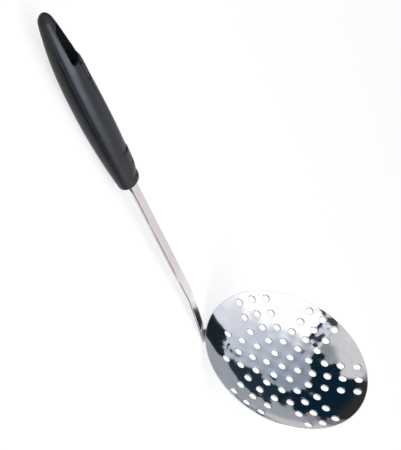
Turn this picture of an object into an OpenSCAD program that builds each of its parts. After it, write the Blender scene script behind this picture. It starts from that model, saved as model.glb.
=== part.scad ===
// Kitchen skimmer: a shallow perforated steel bowl, spot-welded to a flat steel strap
// that ends in a black two-part handle. It lies on its back, as it rests on a table:
// on the strap's bend under the rim and on the belly of the handle.
// The pieces are drawn in the bowl's own frame first: X towards the strap, Z out of
// the bowl's mouth, zero at the centre of the rim. One turn about Y then lays them down.

/* [Bowl] */
// Inside diameter of the bowl at its rim
bowl_d = 114.2; // [100:0.1:130]
// Depth of the bowl below the plane of its rim
bowl_depth = 9.7; // [7:0.1:13]
// How much fuller than a plain parabola the dish is
bowl_fullness = 0.35; // [0:0.05:0.5]
// Thickness of the bowl's sheet
sheet_t = 0.9; // [0.6:0.1:1.5]

/* [Drain holes] */
// Diameter of each drain hole
hole_d = 5.0; // [3:0.1:6]
// Radius of the first ring of holes
first_ring_r = 11.0; // [9:0.1:13]
// Step in radius from one ring of holes to the next
ring_step = 10.2; // [9:0.1:10.8]
// Number of full rings, which have six holes more each time
full_rings = 3; // [2:1:3]
// Number of outer rings, which have their holes in six groups of three
grouped_rings = 2; // [1:1:2]
// Distance between neighbouring holes of one group
group_spacing = 10.9; // [8:0.1:12]
// Radius of the area over the strap's pad that has no holes
bare_r = 13.5; // [12:0.1:15]

/* [Strap] */
// Width of the flat steel strap
strap_w = 11.0; // [8:0.1:14]
// Thickness of the flat steel strap
strap_t = 2.0; // [1.5:0.1:3]
// Length of the weld pad on the bowl's back, measured along a radius
pad_len = 22.0; // [20:0.1:22.4]
// Inner radius of the tight bend under the rim
bend_r = 1.5; // [1:0.1:3]
// Rise of the neck, above the plane of the rim
neck_angle = 57.5; // [50:0.1:65]
// Length of the straight neck, from the bend to the kink
neck_len = 35.5; // [25:0.1:45]
// Inner radius of the slight kink between neck and shank
kink_r = 6.0; // [3:0.5:12]
// Rise of the shank and the handle, above the plane of the rim
shank_angle = 51.0; // [45:0.1:56]
// Length of the straight shank, from the kink to the handle's mouth
shank_len = 100.5; // [70:0.5:120]
// Length of the tang inside the handle
tang_len = 54.0; // [40:0.5:65]

/* [Spot welds] */
// Diameter of each spot weld
weld_d = 3.4; // [2.5:0.1:4]
// Radius from the bowl's centre of the pair of welds nearest the rim
weld_pair_r = 43.0; // [42:0.1:46]
// Distance between the two welds of the pair
weld_pair_gap = 4.4; // [4.2:0.1:5.5]
// Radius from the bowl's centre of the single weld at the pad's inner end
weld_single_r = 38.4; // [38:0.1:39]
// Depth of the dimple that each weld leaves in the bowl
weld_dimple = 0.15; // [0.1:0.05:0.3]
// Depth to which each weld goes into the strap
weld_bite = 0.8; // [0.5:0.1:1.2]

/* [Handle] */
// Length of the handle
handle_len = 124.0; // [110:0.5:145]
// Thickness of the handle at its belly
belly_t = 18.9; // [15:0.1:22]
// Width of the handle at its belly
belly_w = 20.4; // [17:0.1:24]
// Distance of the belly from the mouth
belly_at = 52.0; // [45:0.5:62]
// Thickness of the handle at its mouth, before the edge is rounded
mouth_t = 13.0; // [11:0.1:16]
// Width of the handle at its mouth, before the edge is rounded
mouth_w = 16.8; // [15.6:0.1:18]
// Radius of the rounded edge at the mouth
mouth_round = 1.5; // [0.8:0.1:1.8]
// Thickness at which the tail would end, before its tip is rounded
tail_t = 6.6; // [6:0.1:8]
// Width at which the tail would end, before its tip is rounded
tail_w = 6.9; // [6.4:0.1:8.6]
// Length of the rounded tip
tip_round = 5.0; // [3:0.1:7]
// How far the handle's middle bows away from the bowl's side
handle_bow = 0.75; // [0:0.05:1.5]
// How far the tip drops below the parting plane
tip_drop = 0.5; // [0:0.05:1]

/* [Raised pad and lip] */
// Height of the raised pad on the handle's upper face
pad_rise = 0.65; // [0.2:0.05:0.9]
// Length of the slope on which the raised pad rises behind the lip
pad_ease = 6.0; // [3:0.1:8]
// Distance of the raised pad's far end from the mouth
pad_end = 23.5; // [18:0.5:34]
// Height of the lip at the mouth
lip_rise = 0.45; // [0.3:0.05:1]
// Length of the lip along the handle
lip_len = 5.5; // [4:0.1:8]

/* [Hanging slot] */
// Distance of the slot's far end from the handle's tip
slot_start = 8.5; // [7.5:0.1:10]
// Length of the slot in the upper half, without its notch
slot_len = 24.9; // [22:0.1:28]
// Wall left on each side of the slot in the upper half
slot_wall = 2.1; // [1.4:0.05:2.4]
// Length of the slot's rounded far end
slot_end_round = 4.0; // [3:0.1:6]
// Radius of the corners at the slot's wide end
slot_corner_r = 2.0; // [1:0.1:3]
// Width of the notch in the middle of the slot's wide end
notch_w = 2.6; // [2:0.1:4]
// Length of the notch, with its round end
notch_len = 3.6; // [2.5:0.1:5]
// Width of the narrower slot in the lower half
under_slot_w = 5.0; // [4.4:0.1:5.6]
// How much shorter the lower slot is at each end
under_inset = 3.0; // [2:0.1:4]
// Height of the swell of the upper face round the slot's wide end
swell_rise = 0.6; // [0.2:0.05:0.8]
// Reach of the swell, towards the mouth and towards the tip
swell_reach = 15.0; // [10:0.5:20]
// Depth of the shallow thumb groove where it meets the slot
groove_depth = 0.4; // [0.2:0.05:0.8]
// Length of the thumb groove
groove_len = 13.0; // [10:0.1:16]

/* [Rivet and fits] */
// Diameter of the rivet through the handle and the tang
rivet_d = 4.2; // [3:0.1:5]
// Distance of the rivet from the handle's mouth
rivet_at = 15.5; // [12:0.1:20]
// How far the rivet's ends lie below the handle's faces
rivet_sink = 0.4; // [0.3:0.05:0.8]
// Gap between the weld pad and the bowl's back
pad_gap = 0.05; // [0.02:0.01:0.1]
// Gap between the tang and its pocket, on each side
tang_gap = 0.15; // [0.1:0.05:0.3]
// Gap between the rivet and its bores, on the radius
rivet_gap = 0.03; // [0.02:0.01:0.1]

/* [Hidden] */

STEEL = "gainsboro";
BRUSHED = "silver";
BLACK = [0.08, 0.08, 0.09];
DARK = [0.25, 0.25, 0.27];

// Overshoot of a cut past the face that it opens
over = 1;
// A length beyond the whole object
far = 400;

// The dish
bowl_r = bowl_d / 2;
DISH_STEPS = 14;
function dish_q(r) = pow(r / bowl_r, 2);
function dish_z(r) = -bowl_depth * (1 - dish_q(r)) * (1 + bowl_fullness * dish_q(r));
function dish_slope(r) =
    atan(2 * r * bowl_depth * (1 - bowl_fullness + 2 * bowl_fullness * dish_q(r)) / pow(bowl_r, 2));
// A point at a depth below the dish's inner face, in the plane of radius and height
function under_dish(r, depth) = [r + depth * sin(dish_slope(r)), dish_z(r) - depth * cos(dish_slope(r))];
rim_slope = dish_slope(bowl_r);
rim_corner = under_dish(bowl_r, sheet_t);

// The strap's run, as points on its upper face in the plane of X and Z
function along(angle) = [cos(angle), sin(angle)];
function across(angle) = [-sin(angle), cos(angle)];
function arc_points(centre, r, from, to, steps) =
    [for (i = [0 : steps]) centre + r * along(from + (to - from) * i / steps)];
bend_start = under_dish(bowl_r, sheet_t + pad_gap);
bend_centre = bend_start + bend_r * across(rim_slope);
bend_end = bend_centre - bend_r * across(neck_angle);
neck_end = bend_end + neck_len * along(neck_angle);
kink_centre = neck_end - (kink_r + strap_t) * across(neck_angle);
shank_start = kink_centre + (kink_r + strap_t) * across(shank_angle);
BEND_STEPS = 12;
KINK_STEPS = 4;
// How far the bent strap laps into the weld pad
pad_lap = 1;
// The handle's mouth, on the strap's lower face, which lies in the parting plane
mouth = shank_start + shank_len * along(shank_angle) - strap_t * across(shank_angle);

// The handle's outline: half width and half thickness at a distance from the mouth
SECTION_SIDES = 36;
TAIL_POWER = 2.6;
FRONT_POWER = 1.9;
PAD_FROM = 55;
// Half the length of the step at the raised pad's far end
PAD_STEP = 0.5;
LIP_FROM = 25;
GROOVE_FROM = 62;
SWELL_FROM = 10;
tail_len = handle_len - belly_at;
// Where the raised pad has reached its height
pad_from = lip_len + pad_ease;
// The slot's ends, as distances from the mouth
slot_tip = handle_len - slot_start;
slot_foot = slot_tip - slot_len;
function front_part(u) = pow(max(0, belly_at - u) / belly_at, FRONT_POWER);
function tail_part(u) = pow(max(0, u - belly_at) / tail_len, TAIL_POWER);
function taper(u, belly, mouth_size, tail_size) =
    (belly - (belly - mouth_size) * front_part(u) - (belly - tail_size) * tail_part(u)) / 2;
function rounding(u, length) = sqrt(max(0, 1 - pow(max(0, 1 - u / length), 2)));
function edge_loss(u) = mouth_round * (1 - rounding(u, mouth_round));
function tip_factor(u) = rounding(handle_len - u, tip_round);
function half_w(u) = taper(u, belly_w, mouth_w, tail_w) * tip_factor(u) - edge_loss(u);
function half_t(u) = taper(u, belly_t, mouth_t, tail_t) * tip_factor(u) - edge_loss(u);
// Middle of the handle's thickness, measured from the parting plane
function middle(u) =
    let (part = u / handle_len)
    -(4 * handle_bow * part * (1 - part) + tip_drop * part) * tip_factor(u);
function ramp(value, from, to) = max(0, min(1, (value - from) / (to - from)));
function pad_height(u, angle) =
    pad_rise
    * ramp(u, lip_len, pad_from)
    * ramp(u, pad_end + PAD_STEP, pad_end - PAD_STEP)
    * ramp(angle, PAD_FROM - 10, PAD_FROM);
function lip_height(u, angle) =
    (u < lip_len ? lip_rise * sin(180 * u / lip_len) : 0) * ramp(angle, LIP_FROM, PAD_FROM);
function groove_dip(u, angle) =
    (u < slot_foot + slot_len / 2 ? groove_depth : 0)
    * ramp(u, slot_foot - groove_len, slot_foot)
    * ramp(angle, GROOVE_FROM, GROOVE_FROM + 20);
function swell_height(u, angle) =
    swell_rise
    * pow(cos(90 * min(1, abs(u - slot_foot) / swell_reach)), 2)
    * ramp(angle, SWELL_FROM, SWELL_FROM + 30);
function face_extra(u, angle) =
    let (up = min(angle, 180 - angle))
    max(pad_height(u, up), lip_height(u, up)) + swell_height(u, up) - groove_dip(u, up);
function upper_h(u) = half_t(u) + middle(u);
function lower_h(u) = half_t(u) - middle(u);

// Distances from the mouth at which the handle's sections stand
BODY_STEP = 4;
stations = concat(
    [for (i = [0 : 3]) mouth_round * (1 - cos(30 * i))],
    [for (i = [1 : 4]) mouth_round + (lip_len - mouth_round) * i / 4],
    [for (i = [1 : 2]) lip_len + pad_ease * i / 2],
    [for (i = [1 : 3]) pad_from + (pad_end - PAD_STEP - pad_from) * i / 3],
    [for (u = [pad_end + PAD_STEP : BODY_STEP : handle_len - tip_round - 1]) u],
    [for (i = [0 : 5]) handle_len - tip_round * (1 - sin(16 * i))]
);

// The lying pose: the table touches the bend's outside and the handle's belly
bend_outer_r = bend_r + strap_t;
function side_point(u, height) = mouth + u * along(shank_angle) + height * across(shank_angle);
function touch_angle(point) =
    let (arm = point - bend_centre)
    atan2(arm[1], arm[0]) + asin(bend_outer_r / norm(arm));
rest_angle = min([for (u = stations) touch_angle(side_point(u, -lower_h(u)))]);
function lying(point) = [
    point[0] * cos(rest_angle) + point[1] * sin(rest_angle),
    point[1] * cos(rest_angle) - point[0] * sin(rest_angle)
];
table_z = lying(bend_centre)[1] - bend_outer_r;
back_x = lying([-rim_corner[0], rim_corner[1]])[0];
tip_x = max([
    for (u = stations)
        for (height = [upper_h(u), -lower_h(u), 0])
            lying(side_point(u, height))[0]
]);

module laid_down() {
    translate([-(back_x + tip_x) / 2, 0, -table_z])
        rotate([0, rest_angle, 0])
            children();
}

// Puts what is drawn along +X and +Z at a point of the strap's plane, turned upwards
module at_side(point, angle) {
    translate([point[0], 0, point[1]])
        rotate([0, -angle, 0])
            children();
}

module in_handle() {
    at_side(mouth, shank_angle) children();
}

// A sheet that follows the dish, between two depths below its inner face
module dish_layer(from_r, to_r, top, bottom) {
    rotate_extrude($fn = 120)
        polygon(concat(
            [for (i = [0 : DISH_STEPS]) under_dish(from_r + (to_r - from_r) * i / DISH_STEPS, top)],
            [for (i = [DISH_STEPS : -1 : 0]) under_dish(from_r + (to_r - from_r) * i / DISH_STEPS, bottom)]
        ));
}

function ring_r(ring) = first_ring_r + (ring - 1) * ring_step;
function on_ring(r, angle) = [r * cos(angle), r * sin(angle)];
function group_step(r) = group_spacing / r * 180 / PI;
bare_centre = [ring_r(full_rings + grouped_rings), 0];

full_holes = [
    for (ring = [1 : full_rings])
        for (i = [0 : 6 * ring - 1])
            on_ring(ring_r(ring), i * 60 / ring)
];
grouped_holes = [
    for (ring = [full_rings + 1 : full_rings + grouped_rings])
        for (group = [0 : 5])
            for (i = [-1 : 1])
                let (place = on_ring(ring_r(ring), group * 60 + i * group_step(ring_r(ring))))
                    if (norm(place - bare_centre) > bare_r) place
];
drain_holes = concat([[0, 0]], full_holes, grouped_holes);

weld_places = [
    [weld_single_r, 0],
    [weld_pair_r, weld_pair_gap / 2],
    [weld_pair_r, -weld_pair_gap / 2]
];

// One weld, or the bore that it fills, square to the bowl's face
module weld_plug(place, top, bottom) {
    r = norm(place);
    translate([place[0], place[1], dish_z(r)])
        rotate([0, 0, atan2(place[1], place[0])])
            rotate([0, -dish_slope(r), 0])
                translate([0, 0, -bottom])
                    cylinder(h = bottom - top, d = weld_d, $fn = 32);
}

module weld_bores() {
    for (place = weld_places)
        weld_plug(place, -over, sheet_t + pad_gap + weld_bite);
}

module bowl() {
    color(STEEL) laid_down() difference() {
        dish_layer(0, bowl_r, 0, sheet_t);
        for (place = drain_holes)
            translate([place[0], place[1], -bowl_depth - sheet_t - over])
                cylinder(h = bowl_depth + sheet_t + 2 * over, d = hole_d, $fn = 32);
        weld_bores();
    }
}

module spot_welds() {
    color(STEEL) laid_down()
        for (place = weld_places)
            weld_plug(place, weld_dimple, sheet_t + pad_gap + weld_bite);
}

// The pad follows the bowl's back, and has a rounded inner end
module weld_pad() {
    top = sheet_t + pad_gap;
    pad_r = bend_start[0] - pad_len + strap_w / 2;
    intersection() {
        dish_layer(pad_r - strap_w, bowl_r + 1, top, top + strap_t);
        translate([0, 0, -bowl_depth - far / 2])
            linear_extrude(height = far)
                union() {
                    translate([pad_r, 0]) circle(d = strap_w, $fn = 64);
                    translate([pad_r, -strap_w / 2]) square([bend_start[0] - pad_r, strap_w]);
                }
    }
}

// One face of the strap from the pad to the tang's end, at a depth below its upper face
function strap_face(depth) = concat(
    [bend_start - pad_lap * along(rim_slope) - depth * across(rim_slope)],
    arc_points(bend_centre, bend_r + depth, rim_slope - 90, neck_angle - 90, BEND_STEPS),
    arc_points(kink_centre, kink_r + strap_t - depth, neck_angle + 90, shank_angle + 90, KINK_STEPS),
    [mouth + tang_len * along(shank_angle) + (strap_t - depth) * across(shank_angle)]
);

module bent_strap() {
    upper = strap_face(0);
    lower = strap_face(strap_t);
    rotate([90, 0, 0])
        linear_extrude(height = strap_w, center = true)
            polygon(concat(upper, [for (i = [len(lower) - 1 : -1 : 0]) lower[i]]));
}

module rivet_bore(gap) {
    in_handle()
        translate([rivet_at, 0, -far / 2])
            cylinder(h = far, r = rivet_d / 2 + gap, $fn = 48);
}

module shank() {
    color(BRUSHED) laid_down() difference() {
        union() {
            weld_pad();
            bent_strap();
        }
        weld_bores();
        rivet_bore(rivet_gap);
    }
}

// The handle's outside, as a skin over sections that stand on the parting plane.
// No corner of a section lies in that plane, so each half gets one clean flat face.
function section_point(u, angle) = [
    u,
    half_w(u) * cos(angle),
    (angle < 180 ? upper_h(u) + face_extra(u, angle) : lower_h(u)) * sin(angle)
];

module handle_skin() {
    count = SECTION_SIDES;
    last = len(stations) - 1;
    points = concat(
        [
            for (u = stations)
                for (i = [0 : count - 1])
                    section_point(u, (i + 0.5) * 360 / count)
        ],
        [[handle_len, 0, middle(handle_len)]]
    );
    tip = len(points) - 1;
    faces = concat(
        [[for (i = [0 : count - 1]) i]],
        [
            for (k = [0 : last - 1])
                for (i = [0 : count - 1])
                    let (a = k * count + i, b = k * count + (i + 1) % count)
                        for (face = [[a, a + count, b + count], [a, b + count, b]]) face
        ],
        [for (i = [0 : count - 1]) [last * count + i, tip, last * count + (i + 1) % count]]
    );
    polyhedron(points = points, faces = faces, convexity = 4);
}

// The part of the handle on one side of the parting plane: 1 is up and -1 is down
module handle_half(side) {
    intersection() {
        handle_skin();
        translate([far / 2 - over, 0, side * far / 2]) cube(far, center = true);
    }
}

// Half width of the slot, which follows the handle's side and is rounded at both ends
function slot_side(u) =
    (half_w(u) - slot_wall) * rounding(slot_tip - u, slot_end_round)
    - slot_corner_r * (1 - rounding(u - slot_foot, slot_corner_r));

SLOT_STEPS = 6;
slot_run = slot_len - slot_corner_r - slot_end_round;
slot_stations = concat(
    [for (i = [0 : SLOT_STEPS]) slot_foot + slot_corner_r * (1 - cos(90 * i / SLOT_STEPS))],
    [for (i = [1 : SLOT_STEPS]) slot_foot + slot_corner_r + slot_run * i / SLOT_STEPS],
    [for (i = [1 : SLOT_STEPS - 1]) slot_tip - slot_end_round * (1 - sin(90 * i / SLOT_STEPS))]
);

// The upper slot's outline has a round-ended notch in the middle of its wide end
module upper_slot() {
    notch_end = [slot_foot - notch_len + notch_w / 2, 0];
    far_side = [for (i = [len(slot_stations) - 1 : -1 : 0]) slot_stations[i]];
    translate([0, 0, -far / 2])
        linear_extrude(height = far)
            polygon(concat(
                [for (u = slot_stations) [u, slot_side(u)]],
                [[slot_tip, 0]],
                [for (u = far_side) [u, -slot_side(u)]],
                [[slot_foot, -notch_w / 2]],
                arc_points(notch_end, notch_w / 2, 270, 90, SLOT_STEPS),
                [[slot_foot, notch_w / 2]]
            ));
}

module lower_slot() {
    end_r = under_slot_w / 2;
    wide_end = [slot_foot + under_inset + end_r, 0];
    narrow_end = [slot_tip - under_inset - end_r, 0];
    translate([0, 0, -far / 2])
        linear_extrude(height = far)
            polygon(concat(
                arc_points(wide_end, end_r, 90, 270, 2 * SLOT_STEPS),
                arc_points(narrow_end, end_r, -90, 90, 2 * SLOT_STEPS)
            ));
}

module tang_pocket() {
    translate([-over, -strap_w / 2 - tang_gap, -over])
        cube([over + tang_len + tang_gap, strap_w + 2 * tang_gap, over + strap_t + tang_gap]);
}

module handle_upper() {
    color(BLACK) laid_down() difference() {
        in_handle() difference() {
            handle_half(1);
            tang_pocket();
            upper_slot();
        }
        rivet_bore(rivet_gap);
    }
}

module handle_lower() {
    color(BLACK) laid_down() difference() {
        in_handle() difference() {
            handle_half(-1);
            lower_slot();
        }
        rivet_bore(rivet_gap);
    }
}

module tang_rivet() {
    low = rivet_sink - lower_h(rivet_at);
    high = upper_h(rivet_at) + face_extra(rivet_at, 90) - rivet_sink;
    color(DARK) laid_down() in_handle()
        translate([rivet_at, 0, low])
            cylinder(h = high - low, d = rivet_d, $fn = 48);
}

bowl();
shank();
spot_welds();
handle_upper();
handle_lower();
tang_rivet();
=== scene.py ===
# Looks of the kitchen skimmer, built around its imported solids: a mirror-polished bowl with
# drain holes, a satin steel strap and a black moulded handle, on a pale floor in soft light.
import math

import bpy
import numpy as np
from mathutils import Matrix, Vector
from mathutils.geometry import delaunay_2d_cdt


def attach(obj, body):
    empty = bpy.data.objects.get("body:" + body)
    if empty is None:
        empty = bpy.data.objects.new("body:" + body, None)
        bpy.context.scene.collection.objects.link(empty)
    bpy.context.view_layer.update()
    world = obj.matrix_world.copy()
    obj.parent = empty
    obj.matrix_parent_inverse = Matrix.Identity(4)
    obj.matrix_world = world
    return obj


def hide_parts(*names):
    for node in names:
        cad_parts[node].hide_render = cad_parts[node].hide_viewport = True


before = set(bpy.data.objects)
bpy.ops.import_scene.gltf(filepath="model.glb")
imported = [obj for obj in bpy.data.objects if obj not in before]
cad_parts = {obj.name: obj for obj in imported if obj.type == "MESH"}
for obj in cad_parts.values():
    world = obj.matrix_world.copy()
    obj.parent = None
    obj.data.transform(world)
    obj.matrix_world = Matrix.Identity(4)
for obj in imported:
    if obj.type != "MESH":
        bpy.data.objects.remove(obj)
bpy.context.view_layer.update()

# Shapes are worked out in millimetres in the bowl's own frame, as the solids are drawn:
# X towards the strap, Z out of the bowl's mouth, zero at the centre of the rim.
MM = 0.001

# Bowl
BOWL_R = 57.1
BOWL_DEPTH = 9.7
BOWL_FULLNESS = 0.35
SHEET_T = 0.9
RIM_ROUND = 0.2

# Drain holes
HOLE_R = 2.5
FIRST_RING_R = 11.0
RING_STEP = 10.2
FULL_RINGS = 3
GROUPED_RINGS = 2
GROUP_SPACING = 10.9
BARE_R = 13.5
# Rounded edge of a punched hole inside the bowl, and the small one outside, where the hole breaks out wider
HOLE_ROLL = 0.4
HOLE_BREAK = 0.0
HOLE_BURR = 0.08
# The sheet sinks a little round each punched hole, over this reach
HOLE_SINK = 0.07
HOLE_SINK_REACH = 2.1

# Strap
STRAP_W = 11.0
STRAP_T = 2.0
PAD_LEN = 22.0
BEND_R = 1.5
NECK_ANGLE = math.radians(57.5)
NECK_LEN = 35.5
KINK_R = 6.0
SHANK_ANGLE = math.radians(51.0)
SHANK_LEN = 100.5
TANG_LEN = 54.0
PAD_GAP = 0.05
STRAP_EDGE_R = 0.22

# Spot welds: radius from the bowl's centre and place across
WELD_R = 1.7
WELD_PAIR_R = 43.0
WELD_PAIR_GAP = 4.4
WELD_SINGLE_R = 38.4
WELD_BITE = 0.8
WELD_DIMPLE = 0.16
WELD_DIMPLE_REACH = 2.6

# Handle
HANDLE_LEN = 124.0
BELLY_T = 18.9
BELLY_W = 20.4
BELLY_AT = 52.0
MOUTH_T = 13.0
MOUTH_W = 16.8
MOUTH_ROUND = 1.5
TAIL_T = 6.6
TAIL_W = 6.9
TIP_ROUND = 5.0
HANDLE_BOW = 0.75
TIP_DROP = 0.5
TAIL_POWER = 2.6
FRONT_POWER = 1.9
PAD_RISE = 0.65
PAD_EASE = 6.0
PAD_END = 23.5
LIP_RISE = 0.45
LIP_LEN = 5.5
SEAM_W = 0.14

# Hanging slot, with its notch and the thumb groove that runs into it
SLOT_START = 8.5
SLOT_LEN = 24.9
SLOT_WALL = 2.1
SLOT_END_ROUND = 4.0
SLOT_CORNER_R = 2.0
NOTCH_W = 2.6
NOTCH_LEN = 3.6
UNDER_SLOT_R = 2.5
UNDER_INSET = 3.0
SWELL_RISE = 0.6
SWELL_REACH = 15.0
GROOVE_DEPTH = 0.4
GROOVE_EDGE = 0.45
GROOVE_LEN = 14.5
GROOVE_W = 6.6
SLOT_LIP_ROUND = 0.4

# Rivet and fits
RIVET_R = 2.1
RIVET_AT = 15.5
RIVET_SINK = 0.4
TANG_GAP = 0.15
RIVET_GAP = 0.03


# Shape of the dish

def dish_z(r):
    q = (r / BOWL_R) ** 2
    return -BOWL_DEPTH * (1 - q) * (1 + BOWL_FULLNESS * q)


def dish_slope(r):
    q = (r / BOWL_R) ** 2
    return np.arctan(2 * r * BOWL_DEPTH * (1 - BOWL_FULLNESS + 2 * BOWL_FULLNESS * q) / BOWL_R ** 2)


def under_dish(r, depth):
    """Radius and height of a point at a depth below the dish's inner face."""
    slope = dish_slope(r)
    return np.array([r + depth * np.sin(slope), dish_z(r) - depth * np.cos(slope)])


# The strap's run, as points on its upper face in the plane of X and Z

def along(angle):
    return np.array([math.cos(angle), math.sin(angle)])


def across(angle):
    return np.array([-math.sin(angle), math.cos(angle)])


RIM_SLOPE = float(dish_slope(BOWL_R))
BEND_START = under_dish(BOWL_R, SHEET_T + PAD_GAP)
BEND_CENTRE = BEND_START + BEND_R * across(RIM_SLOPE)
BEND_END = BEND_CENTRE - BEND_R * across(NECK_ANGLE)
NECK_END = BEND_END + NECK_LEN * along(NECK_ANGLE)
KINK_CENTRE = NECK_END - (KINK_R + STRAP_T) * across(NECK_ANGLE)
SHANK_START = KINK_CENTRE + (KINK_R + STRAP_T) * across(SHANK_ANGLE)
# The handle's mouth, on the strap's lower face, which lies in the parting plane
MOUTH = SHANK_START + SHANK_LEN * along(SHANK_ANGLE) - STRAP_T * across(SHANK_ANGLE)


# The handle's outline: half width and half thickness at a distance from the mouth

def taper(u, belly, mouth_size, tail_size):
    front = (np.maximum(0, BELLY_AT - u) / BELLY_AT) ** FRONT_POWER
    tail = (np.maximum(0, u - BELLY_AT) / (HANDLE_LEN - BELLY_AT)) ** TAIL_POWER
    return (belly - (belly - mouth_size) * front - (belly - tail_size) * tail) / 2


def rounding(u, length):
    return np.sqrt(np.maximum(0, 1 - np.maximum(0, 1 - u / length) ** 2))


def tip_factor(u):
    return rounding(HANDLE_LEN - u, TIP_ROUND)


def edge_loss(u):
    return MOUTH_ROUND * (1 - rounding(u, MOUTH_ROUND))


def half_w(u):
    return taper(u, BELLY_W, MOUTH_W, TAIL_W) * tip_factor(u) - edge_loss(u)


def half_t(u):
    return taper(u, BELLY_T, MOUTH_T, TAIL_T) * tip_factor(u) - edge_loss(u)


def middle(u):
    part = u / HANDLE_LEN
    return -(4 * HANDLE_BOW * part * (1 - part) + TIP_DROP * part) * tip_factor(u)


def upper_h(u):
    return half_t(u) + middle(u)


def lower_h(u):
    return half_t(u) - middle(u)


def ramp(value, start, end):
    return np.clip((value - start) / (end - start), 0, 1)


def smooth_ramp(value, start, end):
    t = ramp(value, start, end)
    return t * t * (3 - 2 * t)


# The lying pose: the table touches the bend's outside and the handle's belly

def side_point(u, height):
    return MOUTH + u * along(SHANK_ANGLE) + height * across(SHANK_ANGLE)


def touch_angle(point):
    arm = point - BEND_CENTRE
    return math.atan2(arm[1], arm[0]) + math.asin((BEND_R + STRAP_T) / np.linalg.norm(arm))


REST_ANGLE = min(touch_angle(side_point(u, -lower_h(u))) for u in np.linspace(1.5, HANDLE_LEN, 260))


def lying(point):
    c, s = math.cos(REST_ANGLE), math.sin(REST_ANGLE)
    return np.array([point[0] * c + point[1] * s, point[1] * c - point[0] * s])


TABLE_Z = lying(BEND_CENTRE)[1] - BEND_R - STRAP_T
BACK_X = lying(under_dish(BOWL_R, SHEET_T) * [-1, 1])[0]
TIP_X = max(
    lying(side_point(u, height))[0]
    for u in np.linspace(HANDLE_LEN - TIP_ROUND, HANDLE_LEN, 60)
    for height in (float(upper_h(u)), -float(lower_h(u)), 0.0)
)
TURN = np.array(Matrix.Rotation(REST_ANGLE, 3, "Y"))
SHIFT = np.array([-(BACK_X + TIP_X) / 2, 0, -TABLE_Z])


def placed(points):
    """Points of the bowl's frame, in millimetres, as metres in the shared frame."""
    return (np.asarray(points) @ TURN.T + SHIFT) * MM


def turned(vectors):
    return np.asarray(vectors) @ TURN.T


def from_handle(points):
    """Points of the handle's frame (along, across, up from the parting plane) in the bowl's."""
    points = np.asarray(points)
    run = along(SHANK_ANGLE)
    rise = across(SHANK_ANGLE)
    x = MOUTH[0] + points[:, 0] * run[0] + points[:, 2] * rise[0]
    z = MOUTH[1] + points[:, 0] * run[1] + points[:, 2] * rise[1]
    return np.stack([x, points[:, 1], z], axis=1)


def from_handle_turn(vectors):
    return from_handle(vectors) - np.array([MOUTH[0], 0, MOUTH[1]])


# Making objects

def make_piece(name, points, faces, normals, material, slot, *nodes, depths=None):
    """A mesh piece in the shared frame that stands for some nodes. Points are in the bowl's frame."""
    mesh = bpy.data.meshes.new(name)
    mesh.from_pydata(placed(points).tolist(), [], faces)
    mesh.update()
    mesh.shade_smooth()
    if depths is not None:
        mesh.attributes.new("depth", "FLOAT", "POINT").data.foreach_set("value", depths)
    if normals is not None:
        mesh.normals_split_custom_set_from_vertices(turned(normals).tolist())
    piece = bpy.data.objects.new(name, mesh)
    bpy.context.scene.collection.objects.link(piece)
    piece.data.materials.append(material)
    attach(piece, "root")
    if nodes:
        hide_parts(*nodes)
    return piece


def unit(vectors):
    return vectors / np.maximum(np.linalg.norm(vectors, axis=-1, keepdims=True), 1e-12)


# Shader nodes

class Graph:
    """Short calls to add nodes to a tree. Inputs are numbers, colours or other nodes' sockets."""

    def __init__(self, tree):
        self.tree = tree
        tree.nodes.clear()

    def add(self, kind, inputs=(), **settings):
        node = self.tree.nodes.new(kind)
        for key, value in settings.items():
            setattr(node, key, value)
        for key, value in dict(inputs).items():
            socket = node.inputs[key]
            if isinstance(value, bpy.types.NodeSocket):
                self.tree.links.new(value, socket)
            else:
                socket.default_value = value
        return node

    def math(self, operation, *values, clamp=False):
        return self.add("ShaderNodeMath", enumerate(values), operation=operation, use_clamp=clamp).outputs[0]

    def vector(self, operation, *values):
        node = self.add("ShaderNodeVectorMath", enumerate(values), operation=operation)
        return node.outputs["Value" if operation in ("DOT_PRODUCT", "LENGTH") else 0]

    def step(self, value, start, end):
        """Smooth rise from 0 at start to 1 at end."""
        inputs = {"Value": value, "From Min": start, "From Max": end}
        return self.add("ShaderNodeMapRange", inputs, interpolation_type="SMOOTHSTEP").outputs[0]

    def remap(self, value, start, end, low, high):
        inputs = {"Value": value, "From Min": start, "From Max": end, "To Min": low, "To Max": high}
        return self.add("ShaderNodeMapRange", inputs).outputs[0]

    def mix(self, share, first, second):
        node = self.add("ShaderNodeMix", {0: share}, data_type="RGBA")
        for index, value in ((6, first), (7, second)):
            if isinstance(value, bpy.types.NodeSocket):
                self.tree.links.new(value, node.inputs[index])
            else:
                node.inputs[index].default_value = rgba(value)
        return node.outputs[2]

    def noise(self, place, scale, detail=2.0, roughness=0.5):
        inputs = {"Vector": place, "Scale": scale, "Detail": detail, "Roughness": roughness}
        return self.add("ShaderNodeTexNoise", inputs).outputs["Fac"]

    def stretched(self, place, turn, scale):
        inputs = {"Vector": place, "Rotation": turn, "Scale": scale}
        return self.add("ShaderNodeMapping", inputs).outputs[0]


def rgba(colour):
    if isinstance(colour, (int, float)):
        return (colour, colour, colour, 1)
    return (*colour, 1)


def new_material(name, build):
    material = bpy.data.materials.new(name)
    material.use_nodes = True
    graph = Graph(material.node_tree)
    place = graph.add("ShaderNodeTexCoord").outputs["Object"]
    shader = graph.add("ShaderNodeBsdfPrincipled")
    build(graph, place, shader)
    output = graph.add("ShaderNodeOutputMaterial")
    graph.tree.links.new(shader.outputs[0], output.inputs["Surface"])
    return material


def connect(graph, shader, **sockets):
    for name, value in sockets.items():
        socket = shader.inputs[name.replace("_", " ")]
        if isinstance(value, bpy.types.NodeSocket):
            graph.tree.links.new(value, socket)
        else:
            socket.default_value = value


# Tone of the holes' walls and rolled edges: partly duller steel, partly painted shade in the holes
HOLE_WALL_DULL_AND_SHADE = (0.24, 0.24, 0.255)
HOLE_WALL_ROUGHNESS = 0.25


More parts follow.
